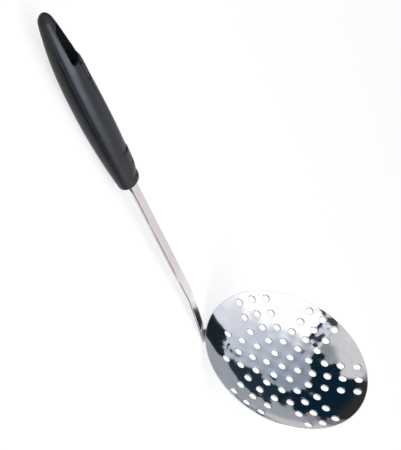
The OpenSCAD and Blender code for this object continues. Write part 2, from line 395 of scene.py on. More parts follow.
def mirror_steel(graph, place, shader):
    """Polished sheet: faint waves from pressing, fine wear and a trace of cloudiness."""
    waves = graph.noise(place, 38, 1.0)
    wear = graph.noise(graph.stretched(place, (0.3, 0.2, 0.9), (60, 900, 900)), 1.0, 3.0)
    cloud = graph.noise(place, 70, 4.0, 0.6)
    height = graph.math("ADD", graph.math("MULTIPLY", waves, 1.0), graph.math("MULTIPLY", wear, 0.002))
    bump = graph.add("ShaderNodeBump", {"Height": height, "Strength": 0.35, "Distance": 0.00018})
    tone = graph.mix(cloud, (0.86, 0.865, 0.885), (0.93, 0.935, 0.95))
    rough = graph.remap(graph.math("MULTIPLY", cloud, wear), 0.1, 0.4, 0.035, 0.075)
    # The holes' rolled edges and punched walls are unpolished, so rougher; their darker tone is partly duller steel and
    # partly painted shade in the holes
    wall = graph.add("ShaderNodeAttribute", attribute_name="depth").outputs["Fac"]
    tone = graph.mix(wall, tone, HOLE_WALL_DULL_AND_SHADE)
    rough = graph.math("MULTIPLY_ADD", wall, HOLE_WALL_ROUGHNESS, rough)
    connect(graph, shader, Base_Color=tone, Metallic=1.0, Roughness=rough, Normal=bump.outputs[0])


def satin_steel(graph, place, shader):
    """Strip steel, brushed along the strap, with a few darker streaks."""
    # Stretched across the strap's run, so that the lines lie along it
    lines = graph.noise(graph.stretched(place, (0, 0, 0), (12, 1800, 900)), 1.0, 4.0, 0.7)
    streaks = graph.noise(graph.stretched(place, (0, 0, 0), (9, 300, 300)), 1.0, 2.0)
    cloud = graph.noise(place, 55, 3.0)
    tone = graph.mix(streaks, (0.74, 0.705, 0.695), (0.88, 0.855, 0.845))
    tone = graph.mix(graph.math("MULTIPLY", cloud, 0.35), tone, (0.82, 0.81, 0.81))
    # Painted sheen: the strap is made brighter towards the kink
    parts = graph.add("ShaderNodeSeparateXYZ", {0: place}).outputs
    tone = graph.mix(graph.step(parts[0], -0.02, -0.052), tone, (0.97, 0.965, 0.96))
    # The sheared edges have a darker torn zone under their upper corner
    depth = graph.add("ShaderNodeAttribute", attribute_name="depth").outputs["Fac"]
    torn = graph.math("MULTIPLY", graph.step(depth, 0.04, 0.12), graph.step(depth, 0.5, 0.38))
    patchy = graph.step(graph.noise(graph.stretched(place, (0, 0, 0), (45, 0, 0)), 1.0, 3.0), 0.36, 0.5)
    torn = graph.math("MULTIPLY", torn, graph.math("MULTIPLY", patchy, 0.85))
    tone = graph.mix(torn, tone, (0.13, 0.12, 0.12))
    bump = graph.add("ShaderNodeBump", {"Height": lines, "Strength": 0.18, "Distance": 0.00003})
    rough = graph.remap(lines, 0.3, 0.7, 0.09, 0.15)
    connect(graph, shader, Base_Color=tone, Metallic=1.0, Roughness=rough, Normal=bump.outputs[0])


PLASTIC_GLOSS = 0.35


def black_plastic(graph, place, shader):
    """Moulded semi-gloss plastic with the mould's fine grain, rubbed smoother in places."""
    grain = graph.noise(place, 2600, 2.0)
    patches = graph.noise(place, 90, 3.0)
    bump = graph.add("ShaderNodeBump", {"Height": grain, "Strength": 0.12, "Distance": 0.00004})
    tone = graph.mix(patches, (0.006, 0.007, 0.0085), (0.009, 0.01, 0.0125))
    rough = graph.remap(patches, 0.3, 0.7, 0.27, 0.36)
    connect(
        graph, shader, Base_Color=tone, Roughness=rough, Specular_IOR_Level=PLASTIC_GLOSS,
        Normal=bump.outputs[0],
    )


def dark_steel(graph, place, shader):
    """Blackened rivet steel, with small random lighter marks."""
    marks = graph.noise(place, 900, 3.0)
    tone = graph.mix(marks, (0.05, 0.05, 0.055), (0.13, 0.13, 0.14))
    bump = graph.add("ShaderNodeBump", {"Height": marks, "Strength": 0.2, "Distance": 0.00005})
    rough = graph.remap(marks, 0.3, 0.7, 0.2, 0.4)
    connect(graph, shader, Base_Color=tone, Metallic=1.0, Roughness=rough, Normal=bump.outputs[0])


def dull_weld(graph, place, shader):
    """Steel of a spot weld: polished over, but a little rougher than the sheet."""
    marks = graph.noise(place, 700, 3.0)
    tone = graph.mix(marks, (0.66, 0.66, 0.68), (0.86, 0.86, 0.88))
    bump = graph.add("ShaderNodeBump", {"Height": marks, "Strength": 0.3, "Distance": 0.00005})
    connect(graph, shader, Base_Color=tone, Metallic=1.0, Roughness=0.16, Normal=bump.outputs[0])


STEEL = new_material("polished_steel", mirror_steel)
BRUSHED = new_material("brushed_strap", satin_steel)
BLACK = new_material("black_plastic", black_plastic)
RIVET = new_material("dark_rivet", dark_steel)
WELD = new_material("weld_steel", dull_weld)


# Bowl

def on_ring(r, angle):
    return (r * math.cos(angle), r * math.sin(angle))


def drain_holes():
    """Centres of the drain holes: one in the middle, full rings, then rings in groups of three."""
    places = [(0.0, 0.0)]
    for ring in range(FULL_RINGS):
        r = FIRST_RING_R + ring * RING_STEP
        count = 6 * (ring + 1)
        places += [on_ring(r, 2 * math.pi * i / count) for i in range(count)]
    outer_r = FIRST_RING_R + (FULL_RINGS + GROUPED_RINGS - 1) * RING_STEP
    for ring in range(FULL_RINGS, FULL_RINGS + GROUPED_RINGS):
        r = FIRST_RING_R + ring * RING_STEP
        for group in range(6):
            for i in (-1, 0, 1):
                place = on_ring(r, math.radians(group * 60) + i * GROUP_SPACING / r)
                if math.dist(place, (outer_r, 0)) > BARE_R:
                    places.append(place)
    return np.array(places)


HOLES = drain_holes()
WELDS = np.array([
    (WELD_SINGLE_R, 0.0),
    (WELD_PAIR_R, WELD_PAIR_GAP / 2),
    (WELD_PAIR_R, -WELD_PAIR_GAP / 2),
])


def gaps_to(places, points):
    return np.linalg.norm(points[:, None, :] - places[None, :, :], axis=2)


def inner_z(points):
    """Height of the bowl's inner face, sunk a little round each hole and over each weld."""
    z = dish_z(np.linalg.norm(points, axis=1))
    near = np.maximum(0, gaps_to(HOLES, points) - HOLE_R) / HOLE_SINK_REACH
    z = z - HOLE_SINK * np.exp(-near ** 2).sum(axis=1)
    dimples = np.exp(-(gaps_to(WELDS, points) / WELD_DIMPLE_REACH) ** 2)
    return z - WELD_DIMPLE * dimples.max(axis=1)


def outer_z(points):
    """Height of the bowl's outer face over the same places."""
    r = np.linalg.norm(points, axis=1)
    foot = r.copy()
    for _ in range(4):
        foot = r - SHEET_T * np.sin(dish_slope(foot))
    return dish_z(foot) - SHEET_T * np.cos(dish_slope(foot))


def normals_of(height, points, side):
    """Unit normals of a height field, upwards for side 1 and downwards for side -1."""
    step = 0.01
    east = np.array([step, 0])
    north = np.array([0, step])
    slope_x = (height(points + east) - height(points - east)) / (2 * step)
    slope_y = (height(points + north) - height(points - north)) / (2 * step)
    return unit(np.stack([-slope_x, -slope_y, np.ones(len(points))], axis=1)) * side


def circle(centre, r, count):
    angles = 2 * np.pi * np.arange(count) / count
    return np.stack([centre[0] + r * np.cos(angles), centre[1] + r * np.sin(angles)], axis=1)


def bowl_piece():
    """The dish as one closed mesh: inner and outer face, the holes' walls and the rim's edge."""
    hole_sides = 44
    rim_sides = 264
    fill = 1.35
    rim_inner = BOWL_R - RIM_ROUND * math.cos(RIM_SLOPE)
    rim_outer = under_dish(BOWL_R, SHEET_T)[0] - RIM_ROUND * math.cos(RIM_SLOPE)
    edge_r = HOLE_R + HOLE_ROLL

    # Plan of a face: loops round the holes and inside the rim, and points between them
    loops = [circle(hole, edge_r, hole_sides) for hole in HOLES]
    rings = [circle(hole, edge_r + more, hole_sides) for hole in HOLES for more in (0.35, 0.85)]
    rims = [circle((0, 0), rim_inner - less, rim_sides) for less in (0, 0.5, 1.3)]
    rows = np.arange(-BOWL_R, BOWL_R, fill * math.sqrt(3) / 2)
    grid = np.array([
        (x + (row % 2) * fill / 2, y)
        for row, y in enumerate(rows)
        for x in np.arange(-BOWL_R, BOWL_R, fill)
    ])
    clear = gaps_to(HOLES, grid).min(axis=1) > edge_r + 0.85 + 0.6 * fill
    clear &= np.linalg.norm(grid, axis=1) < rim_inner - 1.3 - 0.6 * fill
    plan = np.concatenate([*loops, rims[0], *rings, rims[1], rims[2], grid[clear]])
    edges = []
    start = 0
    for loop in [*loops, rims[0]]:
        count = len(loop)
        edges += [(start + i, start + (i + 1) % count) for i in range(count)]
        start += count
    made = delaunay_2d_cdt([Vector(p) for p in plan.tolist()], edges, [], 0, 1e-6, True)
    plan = np.array([tuple(p) for p in made[0]])
    triangles = np.array([tuple(f) for f in made[2]])
    source = np.array([ids[0] if ids else -1 for ids in made[3]])
    centres = plan[triangles].mean(axis=1)
    keep = gaps_to(HOLES, centres).min(axis=1) > edge_r * 0.999 * math.cos(math.pi / hole_sides)
    keep &= np.linalg.norm(centres, axis=1) < rim_inner
    triangles = triangles[keep]
    output_of = {int(s): k for k, s in enumerate(source)}

    points = []
    normals = []
    depths = []

    def add_row(row_points, row_normals, depth=0.0):
        first = sum(len(p) for p in points)
        points.append(row_points)
        normals.append(row_normals)
        depths.append(np.full(len(row_points), depth))
        return np.arange(first, first + len(row_points))

    inner_face = add_row(
        np.column_stack([plan, inner_z(plan)]), normals_of(inner_z, plan, 1)
    )
    # The outer face has the same plan, drawn in to the holes and out to the rim
    outer_plan = plan.copy()
    for k, hole in enumerate(HOLES):
        ids = [output_of[k * hole_sides + i] for i in range(hole_sides)]
        outer_plan[ids] = circle(hole, HOLE_R + HOLE_BREAK + HOLE_BURR, hole_sides)
    r = np.linalg.norm(outer_plan, axis=1)
    from_r = BOWL_R - 2.6
    wider = np.where(r > from_r, from_r + (r - from_r) * (rim_outer - from_r) / (rim_inner - from_r), r)
    outer_plan = outer_plan * (wider / np.maximum(r, 1e-9))[:, None]
    outer_face = add_row(
        np.column_stack([outer_plan, outer_z(outer_plan)]), normals_of(outer_z, outer_plan, -1)
    )
    faces = [tuple(int(inner_face[i]) for i in t) for t in triangles]
    faces += [tuple(int(outer_face[i]) for i in reversed(t)) for t in triangles]

    def join_rows(first, second):
        count = len(first)
        for i in range(count):
            j = (i + 1) % count
            faces.append((int(first[i]), int(first[j]), int(second[j]), int(second[i])))

    for k, hole in enumerate(HOLES):
        ids = np.array([output_of[k * hole_sides + i] for i in range(hole_sides)])
        outward = unit(circle((0, 0), 1, hole_sides))
        rows_here = [inner_face[ids]]
        for turn, depth in ((22.5, 0.3), (45.0, 0.75), (67.5, 1.0), (90.0, 1.0)):
            angle = math.radians(turn)
            ring = circle(hole, HOLE_R + HOLE_ROLL * (1 - math.sin(angle)), hole_sides)
            z = inner_z(ring) - HOLE_ROLL * (1 - math.cos(angle))
            up = normals_of(inner_z, ring, 1)
            inward = np.column_stack([-outward, np.zeros(hole_sides)])
            way = unit(math.cos(angle) * up + math.sin(angle) * inward)
            rows_here.append(add_row(np.column_stack([ring, z]), way, depth))
        ring = circle(hole, HOLE_R + HOLE_BREAK, hole_sides)
        slanted = unit(np.column_stack([-outward, np.full(hole_sides, -0.15)]))
        rows_here.append(add_row(np.column_stack([ring, outer_z(ring) + HOLE_BURR]), slanted, 1.0))
        rows_here.append(outer_face[ids])
        for first, second in zip(rows_here, rows_here[1:]):
            join_rows(first, second)

    # The rim's cut edge, with both corners rounded
    angles = 2 * np.pi * np.arange(rim_sides) / rim_sides
    start = len(HOLES) * hole_sides
    ids = np.array([output_of[start + i] for i in range(rim_sides)])
    out_way = along(RIM_SLOPE)
    up_way = across(RIM_SLOPE)
    rows_here = [inner_face[ids]]
    for depth, turns in ((RIM_ROUND, (30, 60, 90)), (SHEET_T - RIM_ROUND, (90, 120, 150))):
        centre = under_dish(BOWL_R, depth) - RIM_ROUND * out_way
        for turn in turns:
            way = math.sin(math.radians(turn)) * out_way + math.cos(math.radians(turn)) * up_way
            spot = centre + RIM_ROUND * way
            ring = np.stack([spot[0] * np.cos(angles), spot[0] * np.sin(angles), np.full(rim_sides, spot[1])], axis=1)
            ring_normals = np.stack(
                [way[0] * np.cos(angles), way[0] * np.sin(angles), np.full(rim_sides, way[1])], axis=1
            )
            rows_here.append(add_row(ring, ring_normals))
    rows_here.append(outer_face[ids])
    for first, second in zip(rows_here, rows_here[1:]):
        join_rows(second, first)
    return make_piece(
        "bowl_dish", np.concatenate(points), faces, np.concatenate(normals), STEEL, "polished_steel", "bowl",
        depths=np.concatenate(depths),
    )


# Strap

def strap_stations():
    """Points on the strap's upper face from the pad to the tang's end, with their directions."""
    run = []
    pad_from = BEND_START[0] - PAD_LEN
    half = STRAP_W / 2
    for turn in np.linspace(0, 90, 13)[1:]:
        x = pad_from + half * (1 - math.cos(math.radians(turn)))
        run.append(("pad", x, half * math.sin(math.radians(turn))))
    for x in np.linspace(pad_from + half, BOWL_R, 14)[1:]:
        run.append(("pad", x, half))
    for angle in np.linspace(RIM_SLOPE, NECK_ANGLE, 15)[1:]:
        run.append(("path", BEND_CENTRE - BEND_R * across(angle), angle))
    run.append(("path", NECK_END - 0.3 * along(NECK_ANGLE), NECK_ANGLE))
    for angle in np.linspace(NECK_ANGLE, SHANK_ANGLE, 7):
        run.append(("path", KINK_CENTRE + (KINK_R + STRAP_T) * across(angle), angle))
    top_end = MOUTH + STRAP_T * across(SHANK_ANGLE)
    for share in (0.02, 0.3, 0.6, 0.98):
        run.append(("path", SHANK_START + (top_end - SHANK_START) * share, SHANK_ANGLE))
    run.append(("path", top_end + (TANG_LEN - 0.3) * along(SHANK_ANGLE), SHANK_ANGLE))
    run.append(("path", top_end + TANG_LEN * along(SHANK_ANGLE), SHANK_ANGLE))
    return run


def strap_section(half):
    """Points round the strap: place across, depth below the upper face, and the normal there."""
    rounded = min(STRAP_EDGE_R, half * 0.9)
    spots = []
    for centre_y, centre_d, start in (
        (half - rounded, rounded, 0),
        (-half + rounded, rounded, 90),
        (-half + rounded, STRAP_T - rounded, 180),
        (half - rounded, STRAP_T - rounded, 270),
    ):
        for turn in np.linspace(0, 90, 5):
            angle = math.radians(start + turn)
            way = (math.cos(angle), math.sin(angle))
            spots.append((centre_y + rounded * way[0], centre_d - rounded * way[1], *way))
        if start in (0, 180):
            side = 1 if start == 0 else -1
            depth = 0 if start == 0 else STRAP_T
            for share in (0.6, 0.2, -0.2, -0.6):
                spots.append((side * share * (half - rounded), depth, 0.0, float(side)))
    return np.array(spots)


def strap_piece():
    points = []
    normals = []
    depths = []
    for kind, place, more in strap_stations():
        section = strap_section(more if kind == "pad" else STRAP_W / 2)
        y, depth, normal_y, normal_up = section.T
        depths.append(depth / STRAP_T)
        if kind == "pad":
            r = np.hypot(place, y)
            spot = under_dish(r, SHEET_T + PAD_GAP + depth)
            slope = dish_slope(r)
            shade = spot[0] / r
            points.append(np.stack([place * shade, y * shade, spot[1]], axis=1))
            normals.append(np.stack([
                -normal_up * np.sin(slope) * place / r,
                normal_y - normal_up * np.sin(slope) * y / r,
                normal_up * np.cos(slope),
            ], axis=1))
        else:
            up = across(more)
            points.append(np.stack([place[0] - depth * up[0], y, place[1] - depth * up[1]], axis=1))
            normals.append(np.stack([normal_up * up[0], normal_y, normal_up * up[1]], axis=1))
    count = len(points[0])
    faces = []
    for k in range(len(points) - 1):
        for i in range(count):
            j = (i + 1) % count
            a, b = k * count, (k + 1) * count
            faces.append((a + i, a + j, b + j, b + i))
    faces.append(tuple(reversed(range(count))))
    last = (len(points) - 1) * count
    faces.append(tuple(range(last, last + count)))
    return make_piece(
        "steel_strap", np.concatenate(points), faces, unit(np.concatenate(normals)),
        BRUSHED, "brushed_strap", "shank", depths=np.concatenate(depths),
    )


# Turned pieces: welds and rivet

def turned_mesh(profile, sides, centre, axis_x, axis_y, axis_z):
    """Points and faces of a closed profile of (radius, height), turned about the Z axis given."""
    points = []
    faces = []
    angles = 2 * np.pi * np.arange(sides) / sides
    for r, height in profile:
        ring = np.outer(np.cos(angles) * r, axis_x) + np.outer(np.sin(angles) * r, axis_y)
        points.append(centre + ring + height * axis_z)
    for k in range(len(profile) - 1):
        for i in range(sides):
            j = (i + 1) % sides
            faces.append((k * sides + i, (k + 1) * sides + i, (k + 1) * sides + j, k * sides + j))
    faces.append(tuple(range(sides)))
    last = (len(profile) - 1) * sides
    faces.append(tuple(last + i for i in reversed(range(sides))))
    return np.concatenate(points), faces


def weld_piece():
    """Three plugs through the sheet into the strap, each with a shallow ring-shaped top."""
    points = []
    faces = []
    for place in WELDS:
        r = float(np.linalg.norm(place))
        slope = float(dish_slope(r))
        way = place / r
        axis_z = np.array([-math.sin(slope) * way[0], -math.sin(slope) * way[1], math.cos(slope)])
        axis_y = np.array([-way[1], way[0], 0])
        axis_x = np.cross(axis_y, axis_z)
        centre = np.array([*place, float(inner_z(place[None, :])[0])])
        profile = [
            (0.35, 0.005), (0.8, 0.02), (1.1, 0.045), (1.3, 0.05), (1.5, 0.03), (WELD_R - 0.05, -0.02),
            (WELD_R, -0.1), (WELD_R, -(SHEET_T + PAD_GAP + WELD_BITE)),
        ]
        more, more_faces = turned_mesh(profile, 40, centre, axis_x, axis_y, axis_z)
        first = sum(len(p) for p in points)
        points.append(more)
        faces += [tuple(first + i for i in face) for face in more_faces]
    return make_piece("weld_plugs", np.concatenate(points), faces, None, WELD, "polished_steel", "spot_welds")


def rivet_piece():
    """A plain pin through both halves and the tang, with slightly crowned ends."""
    top = float(upper_h(RIVET_AT)) + PAD_RISE - RIVET_SINK
    bottom = -float(lower_h(RIVET_AT)) + RIVET_SINK
    end = [(0.4, 0.0), (1.0, -0.03), (1.6, -0.1), (1.9, -0.17), (RIVET_R - 0.03, -0.26), (RIVET_R, -0.38)]
    profile = [(r, top + drop) for r, drop in end]
    profile += [(r, bottom - drop) for r, drop in reversed(end)]
    run = along(SHANK_ANGLE)
    rise = across(SHANK_ANGLE)
    axis_x = np.array([run[0], 0, run[1]])
    axis_z = np.array([rise[0], 0, rise[1]])
    centre = np.array([MOUTH[0], 0, MOUTH[1]]) + RIVET_AT * axis_x
    points, faces = turned_mesh(profile, 48, centre, axis_x, np.array([0, 1, 0]), axis_z)
    return make_piece("rivet_pin", points, faces, None, RIVET, "dark_rivet", "tang_rivet")


# Handle: each half is the zero level of a distance that is negative inside

SLOT_TIP = HANDLE_LEN - SLOT_START
SLOT_FOOT = SLOT_TIP - SLOT_LEN


def soft_max(a, b, reach):
    """The larger of two distances, with the corner between them rounded over a reach."""
    blend = np.maximum(reach - np.abs(a - b), 0) / reach
    return np.maximum(a, b) + blend * blend * reach / 4


def under_slot_gap(u, y):
    """Distance in plan from the narrower slot in the lower half, negative inside it."""
    ends = UNDER_INSET + UNDER_SLOT_R
    on_middle = np.clip(u, SLOT_FOOT + ends, SLOT_TIP - ends)
    return np.hypot(u - on_middle, y) - UNDER_SLOT_R


def upper_slot_gap(u, y):
    """Distance in plan from the outline of the slot in the upper half, negative inside it."""
    aside = np.abs(y)
    side = np.maximum(half_w(np.clip(u, 0.02, HANDLE_LEN - 0.02)) - SLOT_WALL, 0.3)
    # Past its start, the rounded far end is part of an ellipse
    past = np.maximum(u - (SLOT_TIP - SLOT_END_ROUND), 0)
    ratio = np.maximum(np.hypot(past / SLOT_END_ROUND, aside / side), 1e-6)
    steep = np.hypot(past / SLOT_END_ROUND ** 2, aside / side ** 2) / ratio
    gap = (ratio - 1) / np.maximum(steep, 1e-6)
    # Round corners at the wide end
    over = gap + SLOT_CORNER_R
    under = SLOT_FOOT - u + SLOT_CORNER_R
    inner = np.minimum(np.maximum(over, under), 0)
    gap = inner + np.hypot(np.maximum(over, 0), np.maximum(under, 0)) - SLOT_CORNER_R
    on_notch = np.clip(u, SLOT_FOOT - NOTCH_LEN + NOTCH_W / 2, SLOT_FOOT + NOTCH_W)
    return np.minimum(gap, np.hypot(u - on_notch, y) - NOTCH_W / 2)


def skin_gap(u, y, h):
    """Distance from the handle's moulded outside, about true close to it."""
    inside_u = np.clip(u, 0.02, HANDLE_LEN - 0.02)
    width = np.maximum(half_w(inside_u), 0.05)
    height = np.where(h >= 0, upper_h(inside_u), lower_h(inside_u))
    height = np.maximum(height, 0.05)
    angle = np.degrees(np.arctan2(np.abs(h) / height, np.abs(y) / width))
    up = h >= 0
    pad = PAD_RISE * smooth_ramp(inside_u, PAD_END + 1.2, PAD_END - 0.6) * smooth_ramp(angle, 43, 58)
    pad = pad * smooth_ramp(inside_u, LIP_LEN, LIP_LEN + PAD_EASE)
    lip = np.where(inside_u < LIP_LEN, LIP_RISE * np.sin(np.pi * inside_u / LIP_LEN), 0)
    lip = lip * smooth_ramp(angle, 22, 58)
    # The groove has a round end and soft sides, and deepens towards the slot
    on_groove = np.clip(inside_u, SLOT_FOOT - GROOVE_LEN + GROOVE_W / 2, HANDLE_LEN)
    in_groove = smooth_ramp(np.hypot(inside_u - on_groove, y), GROOVE_W / 2 + 0.25, GROOVE_W / 2 - 0.45)
    dip = in_groove * (GROOVE_EDGE + GROOVE_DEPTH * smooth_ramp(inside_u, SLOT_FOOT - GROOVE_LEN, SLOT_FOOT))
    dip = dip * (inside_u < SLOT_FOOT + SLOT_LEN / 2)
    swell = np.cos(np.pi / 2 * np.minimum(np.abs(inside_u - SLOT_FOOT) / SWELL_REACH, 1)) ** 2
    swell = SWELL_RISE * swell * smooth_ramp(angle, 5, 45)
    height = height + np.where(up, np.maximum(pad, lip) + swell - dip, 0)
    ratio = np.sqrt((y / width) ** 2 + (h / height) ** 2)
    ratio = np.maximum(ratio, 1e-6)
    steep = np.sqrt((y / width ** 2) ** 2 + (h / height ** 2) ** 2) / ratio
    gap = (ratio - 1) / np.maximum(steep, 1e-6)
    return np.maximum(gap, np.maximum(-u, u - HANDLE_LEN))


def box_gap(u, y, h, low, high):
    gap = np.maximum(low[0] - u, u - high[0])
    gap = np.maximum(gap, np.maximum(low[1] - y, y - high[1]))
    return np.maximum(gap, np.maximum(low[2] - h, h - high[2]))


def half_gap(side, u, y, h):
    """Distance from one half of the handle: side 1 is above the parting plane and -1 below."""
    slot = upper_slot_gap(u, y) if side > 0 else under_slot_gap(u, y)
    skin = soft_max(skin_gap(u, y, h), -slot, SLOT_LIP_ROUND)
    # A fine step in both halves makes the seam
    seam = SEAM_W - np.abs(h) + 0 * u
    gap = np.maximum(skin, -side * h)
    gap = soft_max(gap, (skin + seam) / math.sqrt(2), 0.08)
    bore = np.hypot(u - RIVET_AT, y) - RIVET_R - RIVET_GAP
    gap = soft_max(gap, -bore, 0.2)
    if side > 0:
        reach = STRAP_W / 2 + TANG_GAP
        pocket = box_gap(u, y, h, (-9, -reach, -9), (TANG_LEN + TANG_GAP, reach, STRAP_T + TANG_GAP))
        gap = soft_max(gap, -pocket, 0.15)
    return gap


def surface_net(gap, axes):
    """Quads along the zero level of a distance over a grid with these three axes."""
    grid = np.meshgrid(*axes, indexing="ij")
    values = gap(*grid)
    inside = values < 0
    shape = np.array(values.shape) - 1
    corners = [(i, j, k) for i in (0, 1) for j in (0, 1) for k in (0, 1)]

    def window(array, corner):
        return array[tuple(slice(c, c + n) for c, n in zip(corner, shape))]

    filled = sum(window(inside, corner).astype(np.int8) for corner in corners)
    active = (filled > 0) & (filled < 8)
    index = np.full(active.shape, -1)
    index[active] = np.arange(active.sum())
    total = np.zeros((*active.shape, 3))
    hits = np.zeros(active.shape)
    for axis in range(3):
        for corner in corners:
            if corner[axis]:
                continue
            other = tuple(1 if a == axis else c for a, c in enumerate(corner))
            first, second = window(values, corner), window(values, other)
            crossing = window(inside, corner) != window(inside, other)
            share = np.where(crossing, first / np.where(crossing, first - second, 1), 0)
            for a in range(3):
                start, end = window(grid[a], corner), window(grid[a], other)
                total[..., a] += np.where(crossing, start + (end - start) * share, 0)
            hits += crossing
    vertices = total[active] / hits[active][:, None]
    quads = []
    for axis in range(3):
        low = tuple(slice(None, -1) if a == axis else slice(1, -1) for a in range(3))
        high = tuple(slice(1, None) if a == axis else slice(1, -1) for a in range(3))
        crossing = inside[low] != inside[high]
        leaving = inside[low][crossing]
        place = np.argwhere(crossing)
        b, c = [a for a in range(3) if a != axis]
        ring = []
        for step_b, step_c in ((0, 0), (1, 0), (1, 1), (0, 1)):
            cell = place.copy()
            cell[:, b] += step_b
            cell[:, c] += step_c
            ring.append(index[tuple(cell.T)])
        quad = np.stack(ring, axis=1)
        flip = leaving if axis == 1 else ~leaving
        quad[flip] = quad[flip][:, ::-1]
        quads.append(quad)
    return vertices, np.concatenate(quads)


def slope_of(gap, points):
    step = 0.02
    slope = np.zeros_like(points)
    for axis in range(3):
        shift = np.zeros(3)
        shift[axis] = step
        ahead = gap(*(points + shift).T)
        behind = gap(*(points - shift).T)
        slope[:, axis] = (ahead - behind) / (2 * step)
    return slope


def handle_axis(low, high, step, fine_step, fine_spots):
    """Grid lines from low to high, closer together round some spots."""
    lines = [low]
    while lines[-1] < high:
        near = any(start <= lines[-1] <= end for start, end in fine_spots)
        lines.append(lines[-1] + (fine_step if near else step))
    return np.array(lines)


def half_piece(name, node, side):
    reach_up = 1.0 if side > 0 else 0.6
    height = max(BELLY_T / 2 + 1.5, 10.5)
    levels = handle_axis(-reach_up, height, 0.4, 0.13, [(-0.2, 0.7)])
    axes = [
        handle_axis(-0.6, HANDLE_LEN + 0.6, 0.5, 0.32, [(-1, LIP_LEN + 1), (SLOT_FOOT - NOTCH_LEN - 2, HANDLE_LEN)]),
        handle_axis(-BELLY_W / 2 - 0.7, BELLY_W / 2 + 0.7, 0.36, 0.36, []),
        levels if side > 0 else -levels[::-1],
    ]

    def gap(u, y, h):
        return half_gap(side, u, y, h)

    points, faces = surface_net(gap, axes)
    for _ in range(3):
        slope = slope_of(gap, points)
        steep = np.maximum((slope ** 2).sum(axis=1), 0.25)
        move = -(gap(*points.T) / steep)[:, None] * slope
        points = points + np.clip(move, -0.12, 0.12)
    normals = unit(slope_of(gap, points))
    return make_piece(
        name, from_handle(points), faces.tolist(), from_handle_turn(normals),
        BLACK, "black_plastic", node,
    )


def mouth_sliver_piece():
    """A thin black sliver that sticks out of the mouth along the strap's near edge."""
    near = STRAP_W / 2
    run = ((3.0, 0.6, 1.3), (0.4, 0.15, 1.1), (-1.6, 0.6, 1.0), (-3.2, 1.05, 0.95), (-4.4, 1.4, 0.8))
    points = []
    for u, h, wide in run:
        for aside, rise in ((0.02, -0.5), (0.24, -0.32), (0.32, 0.0), (0.24, 0.32), (0.02, 0.5)):
            points.append((u, near + aside, h + rise * wide))
    faces = []
    for k in range(len(run) - 1):
        for i in range(5):
            j = (i + 1) % 5
            faces.append((k * 5 + j, k * 5 + i, k * 5 + 5 + i, k * 5 + 5 + j))
    faces.append(tuple(range(5)))
    faces.append(tuple(reversed(range(len(points) - 5, len(points)))))
    return make_piece("mouth_sliver", from_handle(points), faces, None, BLACK, "black_plastic")


bowl_piece()
strap_piece()
mouth_sliver_piece()
weld_piece()
rivet_piece()
half_piece("grip_upper", "handle_upper", 1)
half_piece("grip_lower", "handle_lower", -1)


# Stage

FLOOR_SIZE = 12.0
FLOOR_WHITE = 0.26
# The floor's own white, for the camera and for reflections
FLOOR_GLOW = 0.72
MIRRORED_GLOW = 0.55


def pale_floor(graph):
    """White paper. In reflections only, it carries painted shade along the handle and is painted dark behind its far
    edge.
    """
    path = graph.add("ShaderNodeLightPath").outputs
    mirrored = graph.math("MAXIMUM", path["Is Glossy Ray"], path["Is Transmission Ray"])
    place = graph.add("ShaderNodeTexCoord").outputs["Object"]
    x, y, _ = graph.add("ShaderNodeSeparateXYZ", {0: place}).outputs
    # Painted shade, only for reflections: a darker band along the handle, and dark beyond the far edge
    reflected_shade_band = graph.math("MULTIPLY", graph.step(y, 0.013, 0.02), graph.step(y, 0.12, 0.065))
    reflected_shade_band = graph.math("MULTIPLY", reflected_shade_band, graph.step(x, 0.15, 0.125))
    reflected_shade_band = graph.math("MULTIPLY", reflected_shade_band, graph.step(x, 0.02, 0.04))
    reflected_shade = graph.math("MULTIPLY", reflected_shade_band, 0.8)
    reflected_shade = graph.math("MAXIMUM", reflected_shade, graph.step(y, -0.16, -0.24))
    left = graph.math("SUBTRACT", 1.0, graph.math("MULTIPLY", mirrored, reflected_shade))
    matt = graph.add("ShaderNodeBsdfDiffuse", {"Color": graph.math("MULTIPLY", left, FLOOR_WHITE)})
    strength = graph.math("MULTIPLY", graph.math("MULTIPLY", mirrored, left), MIRRORED_GLOW)
    straight = graph.math("MULTIPLY", path["Is Camera Ray"], FLOOR_GLOW)
    glow = graph.add("ShaderNodeEmission", {"Color": rgba(1.0), "Strength": graph.math("MAXIMUM", straight, strength)})
    return graph.add("ShaderNodeAddShader", {0: matt.outputs[0], 1: glow.outputs[0]}).outputs[0]


def make_floor():
    half = FLOOR_SIZE / 2
    mesh = bpy.data.meshes.new("floor")
    corners = [(-half, -half, 0), (half, -half, 0), (half, half, 0), (-half, half, 0)]
    mesh.from_pydata(corners, [], [(0, 1, 2, 3)])
    floor = bpy.data.objects.new("floor", mesh)
    bpy.context.scene.collection.objects.link(floor)
    material = bpy.data.materials.new("pale_floor")
    material.use_nodes = True
    graph = Graph(material.node_tree)
    output = graph.add("ShaderNodeOutputMaterial")
    graph.tree.links.new(pale_floor(graph), output.inputs["Surface"])
    floor.data.materials.append(material)


# The studio round the object: bright sheets overhead and dark gaps between them.
# Directions are in degrees: azimuth from +X towards +Y, and elevation. Azimuths run
# from -250 to 110, so that they wrap where the surroundings are white.
AZIMUTH_FROM = -250
AZIMUTH_TO = 110

SHEET_WHITE = (1.13, 1.13, 1.13)
SHEET_LAVENDER = (0.75, 0.757, 0.83)
SHEET_BLUE_GREY = (0.60, 0.64, 0.72)
SHEET_GREY = (0.25, 0.30, 0.37)
NEAR_BLACK = (0.012, 0.017, 0.024)
TEAL = (0.004, 0.015, 0.028)
SLATE = (0.016, 0.030, 0.047)
BROWN_BLACK = (0.034, 0.029, 0.029)
PAPER_PINK = (0.84, 0.79, 0.78)
PAPER_COOL = (0.92, 0.95, 1.02)
WALL_LIGHT = (0.66, 0.645, 0.655)
WALL_MIDDLE = (0.28, 0.29, 0.32)
WALL_GREY = (0.34, 0.36, 0.395)

